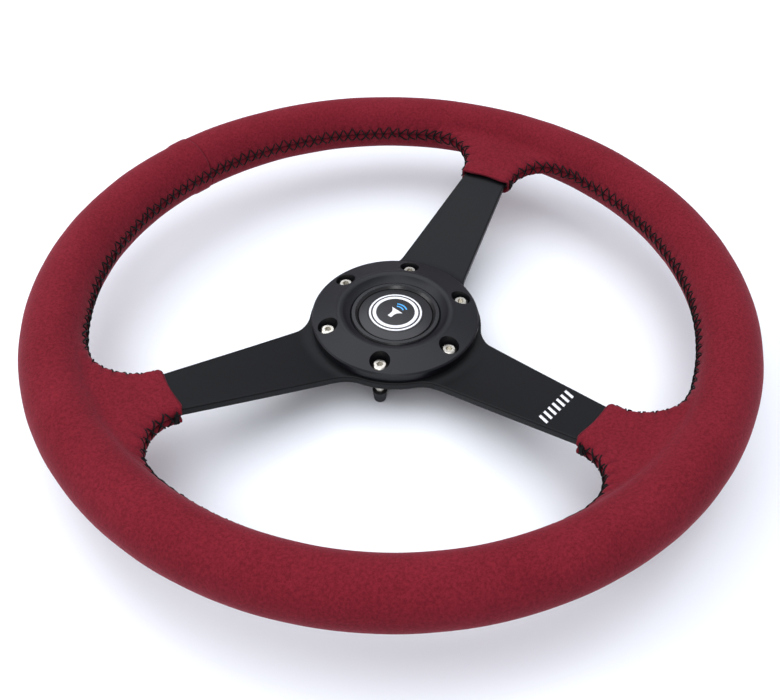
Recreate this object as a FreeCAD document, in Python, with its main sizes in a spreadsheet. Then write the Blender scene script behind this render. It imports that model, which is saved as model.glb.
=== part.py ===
"""Three-spoke sports steering wheel with a centre horn button, as an assembly of separate pieces.

Millimetres. The origin is the centre of the hub's mounting face, +Z points at the driver and the
lower spoke points along -Y. Driving dimensions live in the sheet "sizes"; every feature is bound to it.
"""
import FreeCAD, Part
import math
import os

import Sketcher
from FreeCAD import Vector

DIMENSIONS = {
    "wheel_diameter": (350.0, "over the covered rim"),
    "grip_diameter": (28.9, "thickness of the covered rim"),
    "rim_height": (21.0, "mounting face to the rim's centre plane"),
    "cover_thick": (1.2, "microsuede with its backing"),
    "armature_diameter": (8.0, "steel ring inside the rim"),
    "plate_thick": (4.2, "spoke plate"),
    "hub_radius": (43.5, "flat hub of the spoke plate"),
    "hub_bore_radius": (23.5, "hole that the horn housing drops through"),
    "bend_radius_from_axis": (48.0, "where the spokes turn up"),
    "spoke_slope": (11.64, "degrees that the spokes rise"),
    "spoke_end": (155.0, "from the axis to the spoke's tip"),
    "spoke_half_at_axis": (22.8, "half width of a spoke carried in to the axis"),
    "spoke_half_at_end": (8.7, "half width at the tip"),
    "hub_fillet": (16.0, "between spoke and hub, seen from above"),
    "bend_fillet": (16.0, "inside of the bend between hub and spoke"),
    "edge_fillet": (0.7, "broken edges of the spoke plate"),
    "spoke_right": (16.0, "direction of the right spoke, degrees from +X"),
    "spoke_left": (164.0, "direction of the left spoke"),
    "spoke_lower": (270.0, "direction of the lower spoke"),
    "sleeve_start": (118.0, "from the axis to the cover's mouth on a spoke"),
    "sleeve_half": (14.3, "half width of the cover's sleeve"),
    "sleeve_above": (2.2, "cover and foam over a spoke"),
    "sleeve_below": (2.9, "cover, foam and bracket under a spoke"),
    "sleeve_flare": (23.5, "radius where a sleeve runs into the rim"),
    "sleeve_round": (2.6, "rounding along a sleeve's edges"),
    "foam_setback": (2.5, "foam stands back inside the cover's mouth"),
    "bracket_thick": (1.5, "tab under a spoke's tip"),
    "bracket_start": (140.0, "from the axis to the tab's free end"),
    "bracket_half": (8.0, "half width of the tab"),
    "rivet_radius": (2.0, "shank of a rivet"),
    "rivet_from_axis": (151.0, "from the wheel's axis"),
    "rivet_spread": (4.6, "each side of a spoke's centre line"),
    "stitch_proud": (0.5, "thread height over the cover"),
    "bolt_circle": (70.0, "diameter of the six-hole pattern"),
    "bolt_hole_radius": (2.75, "clearance hole for M5"),
    "thread_radius": (2.5, "M5 thread, where it stands free"),
    "shank_radius": (2.24, "rolled shank of an M5 screw"),
    "screw_length": (20.0, "under the head"),
    "head_radius": (4.7, "screw head"),
    "head_height": (2.75, "screw head"),
    "hex_across": (3.0, "hexagon socket across flats"),
    "counterbore_radius": (5.0, "pocket round a screw head"),
    "ring_floor": (1.4, "ring left under a screw head"),
    "ring_radius": (42.0, "horn ring outside"),
    "ring_side": (4.1, "straight side of the horn ring"),
    "ring_crest_radius": (27.6, "highest circle of the horn ring"),
    "ring_crest": (8.3, "crest over the spoke plate"),
    "ring_bore_radius": (22.6, "hole round the horn housing"),
    "ring_bowl": (5.2, "height of the bowl's lower edge over the plate"),
    "flange_radius": (26.4, "housing flange held under the ring"),
    "flange_thick": (1.4, "housing flange"),
    "housing_radius": (23.3, "housing below the flange"),
    "housing_depth": (6.0, "housing below the mounting face"),
    "bezel_outer": (21.9, "raised bezel, outside"),
    "bezel_inner": (20.2, "raised bezel, inside"),
    "bezel_top": (9.9, "top of the bezel over the mounting face"),
    "cap_bore_radius": (19.0, "guide that the horn cap slides in"),
    "cap_radius": (18.75, "horn cap"),
    "cap_edge": (8.9, "rim of the horn cap over the mounting face"),
    "cap_dome": (10.5, "middle of the horn cap over the mounting face"),
    "cap_skin": (1.7, "wall of the horn cap"),
    "lip_under": (5.0, "underside of the housing's lip"),
    "cap_flange_radius": (20.8, "cap flange caught under the lip"),
    "cap_flange_thick": (1.4, "cap flange"),
    "cavity_radius": (21.6, "inside of the housing"),
    "emblem_radius": (14.1, "disc let into the cap"),
    "emblem_thick": (0.9, "disc let into the cap"),
    "contact_height": (4.8, "underside of the moving contact at rest"),
    "contact_thick": (0.6, "brass strip"),
    "contact_gap": (1.45, "between the contacts at rest"),
    "base_thick": (2.0, "insulating base"),
    "pedestal_inner": (8.0, "base's ring under the fixed contact"),
    "pedestal_outer": (12.0, "base's ring under the fixed contact"),
    "spring_radius": (5.2, "middle of the wire"),
    "spring_wire": (0.8, "diameter"),
    "spring_pitch": (2.0, "rise of each turn"),
    "tab_width": (6.3, "blade terminal"),
    "tab_thick": (0.8, "blade terminal"),
    "tab_length": (7.5, "blade terminal below the base"),
    "base_screw_circle": (18.4, "from the axis"),
    "base_screw_radius": (1.1, "self-tapping screw"),
    "thread_cap_start": (9.6, "below the mounting face"),
    "thread_cap_end": (17.0, "below the mounting face"),
    "thread_cap_radius": (3.7, "rubber cap at its mouth"),
    "thread_cap_tip": (3.0, "rubber cap at its closed end"),
}
EXTRA = 1.0  # how far a cutting tool starts outside the solid it cuts
HEXAGON_CORNER = 2 / math.sqrt(3)  # a hexagon's corner radius over half its width across flats
SPOKES = {"right": "spoke_right", "left": "spoke_left", "lower": "spoke_lower"}
WINDOWS = {
    "upper": ("spoke_right", "spoke_left", 0),
    "lower_left": ("spoke_left", "spoke_lower", 0),
    "lower_right": ("spoke_lower", "spoke_right", 360),
}


# ---------------------------------------------------------------- sizes and formulas


class Size:
    """A number that also knows the sheet formula it comes from."""

    def __init__(self, value, formula=None):
        self.value = float(value)
        self.formula = repr(self.value) if formula is None else formula

    def __add__(self, other):
        return combine(self, "+", other)

    def __radd__(self, other):
        return combine(other, "+", self)

    def __sub__(self, other):
        return combine(self, "-", other)

    def __rsub__(self, other):
        return combine(other, "-", self)

    def __mul__(self, other):
        return combine(self, "*", other)

    def __rmul__(self, other):
        return combine(other, "*", self)

    def __truediv__(self, other):
        return combine(self, "/", other)

    def __neg__(self):
        return combine(0, "-", self)


def as_size(number):
    return number if isinstance(number, Size) else Size(number)


def combine(left, sign, right):
    left = as_size(left)
    right = as_size(right)
    values = {
        "+": lambda a, b: a + b,
        "-": lambda a, b: a - b,
        "*": lambda a, b: a * b,
        "/": lambda a, b: a / b,
    }
    return Size(values[sign](left.value, right.value), f"({left.formula} {sign} {right.formula})")


def tangent(angle):
    """tan of a Size in degrees."""
    return Size(math.tan(math.radians(angle.value)), f"tan({angle.formula})")


def make_sheet(doc):
    """The driving dimensions as a spreadsheet, and each of them as a Size by name."""
    sheet = doc.addObject("Spreadsheet::Sheet", "sizes")
    named = {}
    for row, (alias, (value, meaning)) in enumerate(DIMENSIONS.items(), start=1):
        sheet.set(f"A{row}", meaning)
        sheet.set(f"B{row}", str(value))
        sheet.setAlias(f"B{row}", alias)
        named[alias] = Size(value, f"sizes.{alias}")
    doc.recompute()
    return named


def bind(thing, **sizes):
    """Set properties of a document object and tie each to its formula."""
    for name, number in sizes.items():
        number = as_size(number)
        setattr(thing, name, number.value)
        thing.setExpression(name, number.formula)


def place(thing, x=0, y=0, z=0, axis=(0, 0, 1), angle=0, name="Placement"):
    """Tie a placement to its formulas: a point, then a turn about an axis through it."""
    x, y, z, angle = (as_size(number) for number in (x, y, z, angle))
    point = f"vector({x.formula}; {y.formula}; {z.formula})"
    turn = f"rotation(vector({axis[0]}; {axis[1]}; {axis[2]}); {angle.formula})"
    thing.setExpression(name, f"placement({point}; {turn})")


# ---------------------------------------------------------------- sketches and features


def new_body(doc, label, compound=False):
    body = doc.addObject("PartDesign::Body", label)
    body.Label = label
    body.AllowCompound = compound
    return body


def origin_feature(body, role):
    return next(item for item in body.Origin.OriginFeatures if item.Role == role)


def arc_between(start, end, radius):
    """The short arc from start to end. A positive radius turns left, a negative one right."""
    middle = (start + end) / 2
    half = (end - start) / 2
    rise = math.sqrt(radius**2 - half.Length**2)
    left = Vector(-half.y, half.x, 0).normalize()
    centre = middle + left * math.copysign(rise, radius)
    first, last = (start, end) if radius > 0 else (end, start)
    angles = [math.atan2(point.y - centre.y, point.x - centre.x) for point in (first, last)]
    return Part.ArcOfCircle(Part.Circle(centre, Vector(0, 0, 1), abs(radius)), angles[0], angles[1])


def new_sketch(body, name, plane, offset=None):
    sketch = body.newObject("Sketcher::SketchObject", name)
    sketch.AttachmentSupport = (origin_feature(body, plane), [""])
    sketch.MapMode = "FlatFace"
    if offset:
        place(sketch, name="AttachmentOffset", **offset)
    return sketch


def pin_point(sketch, geometry, end, x, y):
    """Hold one end of a line or arc at (x, y), both tied to the sheet."""
    for kind, axis, number in (("DistanceX", -2, as_size(x)), ("DistanceY", -1, as_size(y))):
        if number.value == 0:
            sketch.addConstraint(Sketcher.Constraint("PointOnObject", geometry, end, axis))
            continue
        index = sketch.addConstraint(Sketcher.Constraint(kind, geometry, end, number.value))
        sketch.setExpression(f"Constraints[{index}]", number.formula)


def draw_outline(body, name, plane, corners, arcs=None, offset=None):
    """A closed outline through corners. arcs gives the signed radius of the sides that are curved."""
    arcs = arcs or {}
    sketch = new_sketch(body, name, plane, offset)
    points = [Vector(as_size(x).value, as_size(y).value, 0) for x, y in corners]
    ends = []
    for index, point in enumerate(points):
        target = points[(index + 1) % len(points)]
        if index in arcs:
            sketch.addGeometry(arc_between(point, target, as_size(arcs[index]).value))
            ends.append((1, 2) if as_size(arcs[index]).value > 0 else (2, 1))
        else:
            sketch.addGeometry(Part.LineSegment(point, target))
            ends.append((1, 2))
    for index, (start, end) in enumerate(ends):
        follower = (index + 1) % len(ends)
        sketch.addConstraint(Sketcher.Constraint("Coincident", index, end, follower, ends[follower][0]))
        pin_point(sketch, index, start, *corners[index])
    for index, radius in arcs.items():
        radius = as_size(radius)
        size = radius if radius.value > 0 else -radius
        number = sketch.addConstraint(Sketcher.Constraint("Radius", index, size.value))
        sketch.setExpression(f"Constraints[{number}]", size.formula)
    return sketch


def draw_circle(body, name, plane, radius, x=0, y=0, offset=None):
    sketch = new_sketch(body, name, plane, offset)
    centre = Vector(as_size(x).value, as_size(y).value, 0)
    sketch.addGeometry(Part.Circle(centre, Vector(0, 0, 1), radius.value))
    pin_point(sketch, 0, 3, x, y)
    number = sketch.addConstraint(Sketcher.Constraint("Radius", 0, radius.value))
    sketch.setExpression(f"Constraints[{number}]", radius.formula)
    return sketch


def draw_hexagon(body, name, plane, across, offset=None):
    """A regular hexagon about the sketch's origin, by its width across flats."""
    flat = across / 2
    corner = across / 2 * HEXAGON_CORNER
    half = corner / 2
    corners = [(corner, 0), (half, flat), (-half, flat), (-corner, 0), (-half, -flat), (half, -flat)]
    return draw_outline(body, name, plane, corners, offset=offset)


def revolve(body, sketch, name):
    """Turn a sketch all the way round its own vertical axis."""
    feature = body.newObject("PartDesign::Revolution", name)
    feature.Profile = sketch
    feature.ReferenceAxis = (sketch, ["V_Axis"])
    feature.Angle = 360
    return feature


def pad(body, sketch, name, length, midplane=False):
    feature = body.newObject("PartDesign::Pad", name)
    feature.Profile = sketch
    feature.Midplane = midplane
    bind(feature, Length=length)
    return feature


def pocket(body, sketch, name, length):
    """Cut a sketch downwards, against its own normal."""
    feature = body.newObject("PartDesign::Pocket", name)
    feature.Profile = sketch
    bind(feature, Length=length)
    return feature


def ring_of(body, features, name, count):
    """Repeat features evenly round the wheel's axis."""
    pattern = body.newObject("PartDesign::PolarPattern", name)
    pattern.Originals = features
    pattern.Axis = (origin_feature(body, "Z_Axis"), [""])
    pattern.Angle = 360
    pattern.Occurrences = count
    body.Tip = pattern
    return pattern


def edges_where(shape, test):
    return [f"Edge{index}" for index, edge in enumerate(shape.Edges, start=1) if test(edge)]


def round_edges(body, name, radius, test):
    """Fillet those edges of the body's last feature that pass a test."""
    base = body.Tip
    body.Document.recompute()
    feature = body.newObject("PartDesign::Fillet", name)
    feature.Base = (base, edges_where(base.Shape, test))
    bind(feature, Radius=radius)
    return feature


def boolean(doc, kind, label, first, second):
    """A Part boolean. Cut takes one tool; Fuse and Common take a list."""
    if kind == "Cut":
        result = doc.addObject("Part::Cut", label)
        result.Base = first
        result.Tool = second
    else:
        result = doc.addObject(f"Part::Multi{kind}", label)
        result.Shapes = [first, *second]
    result.Label = label
    return result


def add_torus(doc, label, size, minor_radius):
    """A full torus on the rim's centre circle."""
    torus = doc.addObject("Part::Torus", label)
    bind(torus, Radius1=rim_radius(size), Radius2=minor_radius)
    place(torus, z=size["rim_height"])
    return torus


def edge_is_upright(edge):
    """Straight and parallel to Z."""
    if len(edge.Vertexes) != 2:
        return False
    run = edge.Vertexes[1].Point - edge.Vertexes[0].Point
    return math.hypot(run.x, run.y) < 1e-6 and abs(run.z) > 1e-6


# ---------------------------------------------------------------- shared geometry


def rim_radius(size):
    return (size["wheel_diameter"] - size["grip_diameter"]) / 2


def spoke_underside(size, radius):
    """Height of a spoke's underside at a distance from the axis."""
    return (radius - size["bend_radius_from_axis"]) * tangent(size["spoke_slope"])


def sleeve_frame(size, along):
    """The tilted plane that runs up the middle of a sleeve, for a spoke along +X."""
    middle = (size["plate_thick"] + size["sleeve_above"] - size["sleeve_below"]) / 2
    height = spoke_underside(size, along) + middle
    return {"x": along, "z": height, "axis": (0, 1, 0), "angle": -size["spoke_slope"]}


# ---------------------------------------------------------------- spoke plate and rim


def make_dish(doc, size):
    """The spoke plate's sheet before it is cut to shape: flat hub, then a rising cone."""
    body = new_body(doc, "dish_blank")
    spare = 8  # blank outside the tips, trimmed off by the outline
    outer = size["spoke_end"] + spare
    rise = spoke_underside(size, outer)
    thick = size["plate_thick"]
    bend = size["bend_radius_from_axis"]
    corners = [(0, 0), (bend, 0), (outer, rise), (outer, rise + thick), (bend, thick), (0, thick)]
    revolve(body, draw_outline(body, "dish_section", "XZ_Plane", corners), "dish_turned")

    def on_bend(edge):
        point = edge.Vertexes[0].Point
        return abs(math.hypot(point.x, point.y) - bend.value) < 1e-4

    round_edges(body, "dish_bend", size["bend_fillet"], on_bend)
    return body


def make_star(doc, size):
    """The plate's outline as a tall prism: hub disc, three tapered spokes, bore and bolt holes."""
    body = new_body(doc, "star_blank")
    tall = size["wheel_diameter"] / 4
    pad(body, draw_circle(body, "hub_circle", "XY_Plane", size["hub_radius"]), "hub_pad", tall, True)
    inner = size["spoke_half_at_axis"]
    end = size["spoke_end"]
    tip = size["spoke_half_at_end"]
    for side, alias in SPOKES.items():
        corners = [(0, -inner), (end, -tip), (end, tip), (0, inner)]
        offset = {"angle": size[alias]}
        sketch = draw_outline(body, f"{side}_spoke_plan", "XY_Plane", corners, offset=offset)
        pad(body, sketch, f"{side}_spoke_pad", tall, True)

    def in_a_corner(edge):
        point = edge.Vertexes[0].Point
        reach = math.hypot(point.x, point.y)
        return edge_is_upright(edge) and abs(reach - size["hub_radius"].value) < 1e-3

    round_edges(body, "hub_corners", size["hub_fillet"], in_a_corner)
    top = {"z": tall / 2}
    bore = draw_circle(body, "bore_circle", "XY_Plane", size["hub_bore_radius"], offset=top)
    pocket(body, bore, "bore_cut", tall)
    hole = draw_circle(
        body, "bolt_hole_circle", "XY_Plane", size["bolt_hole_radius"], y=size["bolt_circle"] / 2, offset=top
    )
    ring_of(body, [pocket(body, hole, "bolt_hole_cut", tall)], "bolt_holes", 6)
    return body


def make_spoke_plate(doc, size):
    """Aluminium plate, cut to its outline, bent at the hub and with its long edges broken."""
    blank = boolean(doc, "Common", "plate_blank", make_dish(doc, size), [make_star(doc, size)])
    rivets = [add_rivet_hole(doc, size, *spot) for spot in rivet_spots(size)]
    holes = boolean(doc, "Fuse", "rivet_holes", rivets[0], rivets[1:])
    drilled = boolean(doc, "Cut", "plate_drilled", blank, holes)
    doc.recompute()
    hub = size["hub_radius"].value - 0.5
    tips = size["spoke_end"].value - 12

    def on_outline(edge):
        """Long edges outside the hub's bore and bolt holes, not the short upright ones."""
        reach = min(math.hypot(vertex.X, vertex.Y) for vertex in edge.Vertexes)
        return hub < reach < tips and not edge_is_upright(edge)

    plate = doc.addObject("Part::Fillet", "spoke_plate")
    plate.Base = drilled
    radius = size["edge_fillet"].value
    names = edges_where(drilled.Shape, on_outline)
    plate.Edges = [(int(name[4:]), radius, radius) for name in names]
    plate.Label = "spoke_plate"
    return plate


def rivet_spots(size):
    """Each rivet's place: the spoke's direction and which side of its centre line."""
    return [(size[alias], side) for alias in SPOKES.values() for side in (-1, 1)]


def add_rivet_hole(doc, size, direction, side):
    """A cylinder square to a spoke's tip, wide enough for one rivet's shank."""
    drilled = 20  # through spoke and bracket with room to spare
    hole = doc.addObject("Part::Cylinder", "rivet_hole")
    bind(hole, Radius=size["rivet_radius"], Height=drilled)
    place_on_spoke(hole, size, direction, side, -drilled / 2)
    return hole


def place_on_spoke(thing, size, direction, side, lift):
    """Stand a piece that points along +Z square to a spoke, over a rivet's place."""
    reach = size["rivet_from_axis"]
    height = spoke_underside(size, reach)
    across = size["rivet_spread"] * side
    spin = f"rotation(vector(0; 0; 1); {direction.formula})"
    lean = f"rotation(vector(0; 1; 0); {(-size['spoke_slope']).formula})"
    point = f"vector({reach.formula}; {across.formula}; {height.formula})"
    outward = f"placement(vector(0; 0; 0); {spin})"
    local = f"placement({point}; {lean})"
    down = f"placement(vector(0; 0; {lift}); rotation(vector(0; 0; 1); 0))"
    thing.setExpression("Placement", f"{outward} * {local} * {down}")


def make_rivets(doc, size):
    """Two countersunk rivets through each spoke's tip and its bracket, as one group."""
    solids = []
    for number, (direction, side) in enumerate(rivet_spots(size)):
        body = new_body(doc, f"rivet_{number}")
        thick = size["plate_thick"]
        under = -size["bracket_thick"]
        shank = size["rivet_radius"]
        head = shank + 0.9
        foot = under - 0.9
        bevel = 0.4
        corners = [(0, foot), (head - bevel, foot), (head, foot + bevel), (head, under), (shank, under)]
        corners += [(shank, thick), (0, thick)]
        revolve(body, draw_outline(body, f"rivet_section_{number}", "XZ_Plane", corners), f"rivet_turned_{number}")
        place_on_spoke(body, size, direction, side, 0)
        solids.append(body)
    group = doc.addObject("Part::Compound", "bracket_rivets")
    group.Links = solids
    return group


def make_armature(doc, size):
    """Steel rod bent into a ring, inside the foam."""
    return add_torus(doc, "rim_armature", size, size["armature_diameter"] / 2)


def make_bracket(doc, size, side, alias, armature):
    """Steel tab welded to the armature and riveted under a spoke's tip."""
    body = new_body(doc, f"{side}_tab_blank")
    half = size["bracket_half"]
    start = size["bracket_start"]
    reach = rim_radius(size) - start
    corners = [(0, -half), (reach, -half), (reach, half), (0, half)]
    frame = {
        "x": start,
        "z": spoke_underside(size, start),
        "axis": (0, 1, 0),
        "angle": -size["spoke_slope"],
    }
    sketch = draw_outline(body, f"{side}_tab_plan", "XY_Plane", corners, offset=frame)
    feature = pad(body, sketch, f"{side}_tab_pad", size["bracket_thick"])
    feature.Reversed = True
    place(body, angle=size[alias])
    holes = [add_rivet_hole(doc, size, size[alias], where) for where in (-1, 1)]
    tools = boolean(doc, "Fuse", f"{side}_tab_tools", armature, holes)
    return boolean(doc, "Cut", f"{side}_bracket", body, tools)


def make_sleeve(doc, size, label, alias, shrink, mouth):
    """One spoke's sleeve: a tongue that flares into the rim. shrink thins it all round."""
    body = new_body(doc, label)
    half = size["sleeve_half"] - shrink
    flare = size["sleeve_flare"] + shrink
    start = size["sleeve_start"]
    short_of_rim = 1.8  # so that the flare's fillet meets the rim's round side
    into_rim = 12
    neck = rim_radius(size) - size["grip_diameter"] / 2 - start - short_of_rim + shrink
    deep = neck + into_rim
    wide = half + flare + into_rim / 2
    corners = [(mouth, -half), (neck, -half), (neck, -wide), (deep, -wide)]
    corners += [(deep, wide), (neck, wide), (neck, half), (mouth, half)]
    sketch = draw_outline(body, f"{label}_plan", "XY_Plane", corners, offset=sleeve_frame(size, start))
    thick = size["plate_thick"] + size["sleeve_above"] + size["sleeve_below"] - shrink * 2
    block = pad(body, sketch, f"{label}_pad", thick, True)
    doc.recompute()
    slope = math.radians(size["spoke_slope"].value)
    normal = Vector(-math.sin(slope), 0, math.cos(slope))
    corner_reach = start.value + neck.value * math.cos(slope)

    def in_a_corner(edge):
        run = edge.Vertexes[-1].Point - edge.Vertexes[0].Point
        square = run.Length > 1 and abs(run.normalize() * normal) > 0.999
        point = edge.CenterOfMass
        return square and abs(point.x - corner_reach) < 1.5 and abs(abs(point.y) - half.value) < 0.1

    feature = body.newObject("PartDesign::Fillet", f"{label}_flare")
    feature.Base = (block, edges_where(block.Shape, in_a_corner))
    bind(feature, Radius=flare)
    doc.recompute()

    def along_the_side(edge):
        """Edges of the tongue's top and bottom, from the mouth round the flare."""
        run = edge.Vertexes[-1].Point - edge.Vertexes[0].Point
        if run.Length < 1 or abs(run.normalize() * normal) > 0.5:
            return False
        point = edge.CenterOfMass
        beside = abs(point.y) > half.value - 0.1
        return beside and point.x < corner_reach - 0.5

    rounding = body.newObject("PartDesign::Fillet", f"{label}_rounding")
    rounding.Base = (feature, edges_where(feature.Shape, along_the_side))
    bind(rounding, Radius=size["sleeve_round"] - shrink)
    place(body, angle=size[alias])
    return body


def make_grip_form(doc, size, label, shrink, mouth):
    """The rim's round section with a sleeve for each spoke. shrink makes it thinner all over."""
    torus = add_torus(doc, f"{label}_tube", size, size["grip_diameter"] / 2 - shrink)
    sleeves = [
        make_sleeve(doc, size, f"{label}_{side}_sleeve", alias, shrink, mouth) for side, alias in SPOKES.items()
    ]
    return boolean(doc, "Fuse", label, torus, sleeves)


def make_cover(doc, size):
    """Microsuede skin over the rim and sleeves, open at each sleeve's mouth."""
    outside = make_grip_form(doc, size, "cover_outside", as_size(0), as_size(0))
    past_mouth = as_size(-3)  # the cutting form starts outside the mouth, so the mouth is open
    inside = make_grip_form(doc, size, "cover_inside", size["cover_thick"], past_mouth)
    return boolean(doc, "Cut", "rim_cover", outside, inside)


def make_foam(doc, size, hard_pieces):
    """Moulded foam that fills the cover round the armature, brackets and spoke tips."""
    foam = make_grip_form(doc, size, "foam_form", size["cover_thick"], size["foam_setback"])
    for piece in hard_pieces[:-1]:
        foam = boolean(doc, "Cut", f"foam_round_{piece.Label}", foam, piece)
    return boolean(doc, "Cut", "rim_foam", foam, hard_pieces[-1])


def make_stitching(doc, size):
    """A low band of thread along the rim's inner side in each window between spokes."""
    half = size["grip_diameter"] / 2
    proud = add_torus(doc, "thread_tube", size, half + size["stitch_proud"])
    grip = add_torus(doc, "grip_tube", size, half)
    shell = boolean(doc, "Cut", "thread_shell", proud, grip)
    bands = []
    margin = 16.5  # degrees each side of a spoke, where the sleeve's flare is
    past_equator = 0.8
    for window, (first, last, turn) in WINDOWS.items():
        pie = doc.addObject("Part::Cylinder", f"{window}_pie")
        sweep = size[last] + turn - size[first] - 2 * margin
        bind(pie, Radius=rim_radius(size) - half + past_equator, Height=size["grip_diameter"], Angle=sweep)
        place(pie, z=size["rim_height"] - half, angle=size[first] + margin)
        bands.append(boolean(doc, "Common", f"{window}_stitching", shell, [pie]))
    return bands


# ---------------------------------------------------------------- horn ring and fasteners


def make_horn_ring(doc, size):
    """Ring that clamps the horn housing, with a conical top, a bowl round the cap and six pockets."""
    body = new_body(doc, "horn_ring")
    foot = size["plate_thick"]
    outer = size["ring_radius"]
    bore = size["ring_bore_radius"]
    crest = size["ring_crest_radius"]
    seat = size["flange_radius"] + 0.2  # clear of the housing's flange
    side_top = foot + size["ring_side"]
    top = foot + size["ring_crest"]
    bowl = foot + size["ring_bowl"]
    step = foot + size["flange_thick"]
    corners = [(seat, foot), (outer, foot), (outer, side_top), (outer - 0.7, side_top + 0.7)]
    corners += [(crest + 2.2, top - 0.25), (crest - 1.4, top - 0.55), (bore + 0.3, bowl), (bore, bowl - 0.4)]
    corners += [(bore, step), (seat, step)]
    curved = {4: 3.4, 5: -14.0}
    revolve(body, draw_outline(body, "ring_section", "XZ_Plane", corners, curved), "ring_turned")
    spot = size["bolt_circle"] / 2
    lid = {"z": top + EXTRA}
    wide = draw_circle(body, "pocket_circle", "XY_Plane", size["counterbore_radius"], y=spot, offset=lid)
    head_pocket = pocket(body, wide, "head_pocket", top + EXTRA - foot - size["ring_floor"])
    narrow = draw_circle(body, "clearance_circle", "XY_Plane", size["bolt_hole_radius"], y=spot, offset=lid)
    clearance = pocket(body, narrow, "clearance_hole", top + EXTRA)
    ring_of(body, [head_pocket, clearance], "six_pockets", 6)
    return body


def make_wheel_screws(doc, size):
    """Six M5 screws with domed heads and hexagon sockets, as one group."""
    body = new_body(doc, "wheel_screws", compound=True)
    seat = size["plate_thick"] + size["ring_floor"]
    top = seat + size["head_height"]
    head = size["head_radius"]
    shank = size["shank_radius"]
    thread = size["thread_radius"]
    free_top = as_size(-0.3)  # the thread's full diameter starts just below the plate
    tip_bevel = 0.6
    dome = 4.4
    socket_deep = as_size(1.6)
    free_end = -size["thread_cap_start"]
    tip = seat - size["screw_length"]
    corners = [(0, tip), (shank - tip_bevel, tip), (shank, tip + tip_bevel), (shank, free_end)]
    corners += [(thread, free_end)]
    corners += [(thread, free_top), (shank, free_top), (shank, seat), (head, seat), (head, seat + 0.7)]
    corners += [(head * 0.6, top), (0, top)]
    place_at = {"x": size["bolt_circle"] / 2}
    sketch = draw_outline(body, "screw_section", "YZ_Plane", corners, {9: dome}, offset=place_at)
    turned = revolve(body, sketch, "screw_turned")
    lid = {"y": size["bolt_circle"] / 2, "z": top + EXTRA}
    socket = draw_hexagon(body, "socket_plan", "XY_Plane", size["hex_across"], offset=lid)
    drive = pocket(body, socket, "socket", socket_deep + EXTRA)
    ring_of(body, [turned, drive], "six_screws", 6)
    return body


def make_thread_caps(doc, size):
    """Six soft caps pushed over the screws' ends, as one group."""
    body = new_body(doc, "thread_caps", compound=True)
    mouth = -size["thread_cap_start"]
    end = -size["thread_cap_end"]
    bore = size["shank_radius"]
    screw_tip = size["plate_thick"] + size["ring_floor"] - size["screw_length"]
    tip = size["thread_cap_tip"]
    bottom = screw_tip - 0.3
    nose = 1.6
    corners = [(bore, mouth), (bore, bottom), (0, bottom), (0, end), (tip - nose, end)]
    corners += [(tip, end + nose), (size["thread_cap_radius"], mouth)]
    place_at = {"x": size["bolt_circle"] / 2}
    sketch = draw_outline(body, "thread_cap_section", "YZ_Plane", corners, {4: nose}, offset=place_at)
    ring_of(body, [revolve(body, sketch, "thread_cap_turned")], "six_thread_caps", 6)
    return body


# ---------------------------------------------------------------- horn button


def make_housing(doc, size):
    """Moulded cup: flange under the ring, bezel round the cap, lip that stops the cap, screw bosses."""
    body = new_body(doc, "button_housing")
    foot = size["plate_thick"]
    step = foot + size["flange_thick"]
    flange = size["flange_radius"]
    neck = size["ring_bore_radius"] - 0.1
    bezel_top = size["bezel_top"]
    guide = size["cap_bore_radius"]
    lip = size["lip_under"]
    cavity = size["cavity_radius"]
    bottom = -size["housing_depth"]
    outer = size["housing_radius"]
    corners = [(cavity, bottom), (outer, bottom), (outer, foot), (flange, foot), (flange, step), (neck, step)]
    corners += [(neck, bezel_top - 0.7), (size["bezel_outer"], bezel_top), (size["bezel_inner"], bezel_top)]
    corners += [(guide, bezel_top - 1.2), (guide, lip), (cavity, lip)]
    revolve(body, draw_outline(body, "housing_section", "XZ_Plane", corners), "housing_turned")
    spot = size["base_screw_circle"]
    floor = {"z": bottom}
    boss_circle = draw_circle(body, "boss_circle", "XY_Plane", as_size(3.4), y=spot, offset=floor)
    boss = pad(body, boss_circle, "boss", size["housing_depth"] + 0.8)
    hole_top = {"z": as_size(-0.6)}
    hole_circle = draw_circle(
        body, "pilot_circle", "XY_Plane", size["base_screw_radius"], y=spot, offset=hole_top
    )
    pilot = pocket(body, hole_circle, "pilot", size["housing_depth"])
    ring_of(body, [boss, pilot], "three_bosses", 3)
    return body


def make_cap(doc, size):
    """Domed cap with a skirt, a flange caught under the housing's lip and a boss for the contact."""
    body = new_body(doc, "button_cap")
    radius = size["cap_radius"]
    edge = size["cap_edge"]
    dome = size["cap_dome"]
    skin = size["cap_skin"]
    flange = size["cap_flange_radius"]
    flange_top = size["lip_under"] - 0.1
    flange_foot = flange_top - size["cap_flange_thick"]
    wall = radius - 1.5
    boss_foot = size["contact_height"] + size["contact_thick"]
    disc = size["emblem_radius"] + 0.05
    disc_floor = dome - size["emblem_thick"]
    inner_roof = dome - skin - size["emblem_thick"]
    corners = [(1.0, boss_foot), (3.2, boss_foot), (3.2, inner_roof), (wall - 2, inner_roof - 0.5)]
    corners += [(wall, inner_roof - 1.2), (wall, flange_foot), (flange, flange_foot), (flange, flange_top)]
    corners += [(radius, flange_top), (radius, edge - 0.6), (radius - 0.6, edge), (disc, dome - 0.75)]
    corners += [(disc, disc_floor), (0, disc_floor), (0, boss_foot + 3), (1.0, boss_foot + 3)]
    curved = {9: 0.7, 10: 60.0}
    revolve(body, draw_outline(body, "cap_section", "XZ_Plane", corners, curved), "cap_turned")
    return body


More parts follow.
